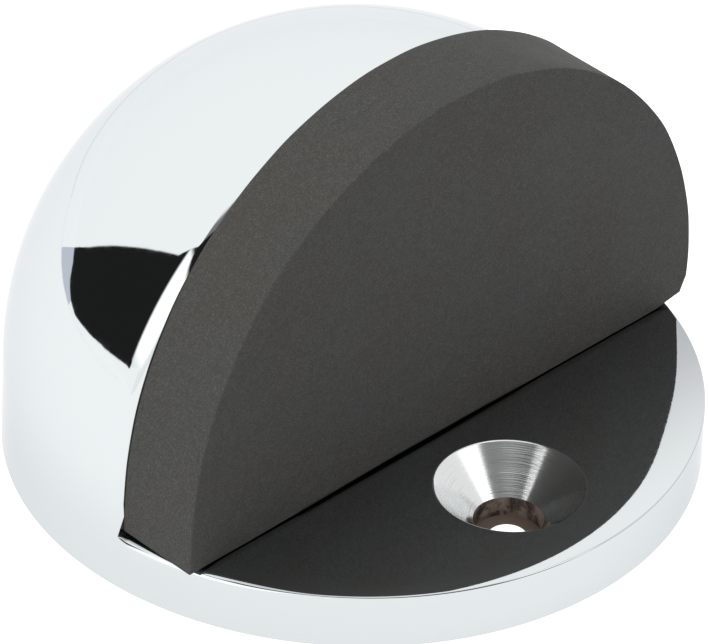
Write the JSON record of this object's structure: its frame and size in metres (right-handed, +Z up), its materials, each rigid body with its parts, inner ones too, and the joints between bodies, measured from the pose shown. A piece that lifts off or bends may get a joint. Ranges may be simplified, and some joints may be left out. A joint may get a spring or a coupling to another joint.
{
  "type": "half-moon floor door stop",
  "caption": "Round chrome floor door stop: half dome with a black rubber buffer on its flat face, one countersunk screw hole in the flange.",
  "frame": {"origin": "middle of the round base, on the floor", "axes": "+Z up along the fixing screw, -Y out of the buffer's face towards the door that it stops, +X to the right seen from the door"},
  "size_m": [0.0455, 0.045, 0.0297],
  "materials": {
    "chrome_plate": "zinc die-casting, polished and bright chrome plated",
    "black_rubber": "matt moulded black rubber with a fine grain",
    "zinc_plated_steel": "bright zinc plated steel"
  },
  "bodies": {
    "root": {"body_casting": "chrome_plate", "rubber_buffer": "black_rubber", "buffer_studs": "zinc_plated_steel", "stud_washers": "zinc_plated_steel", "stud_nuts": "zinc_plated_steel"}
  },
  "joints": []
}
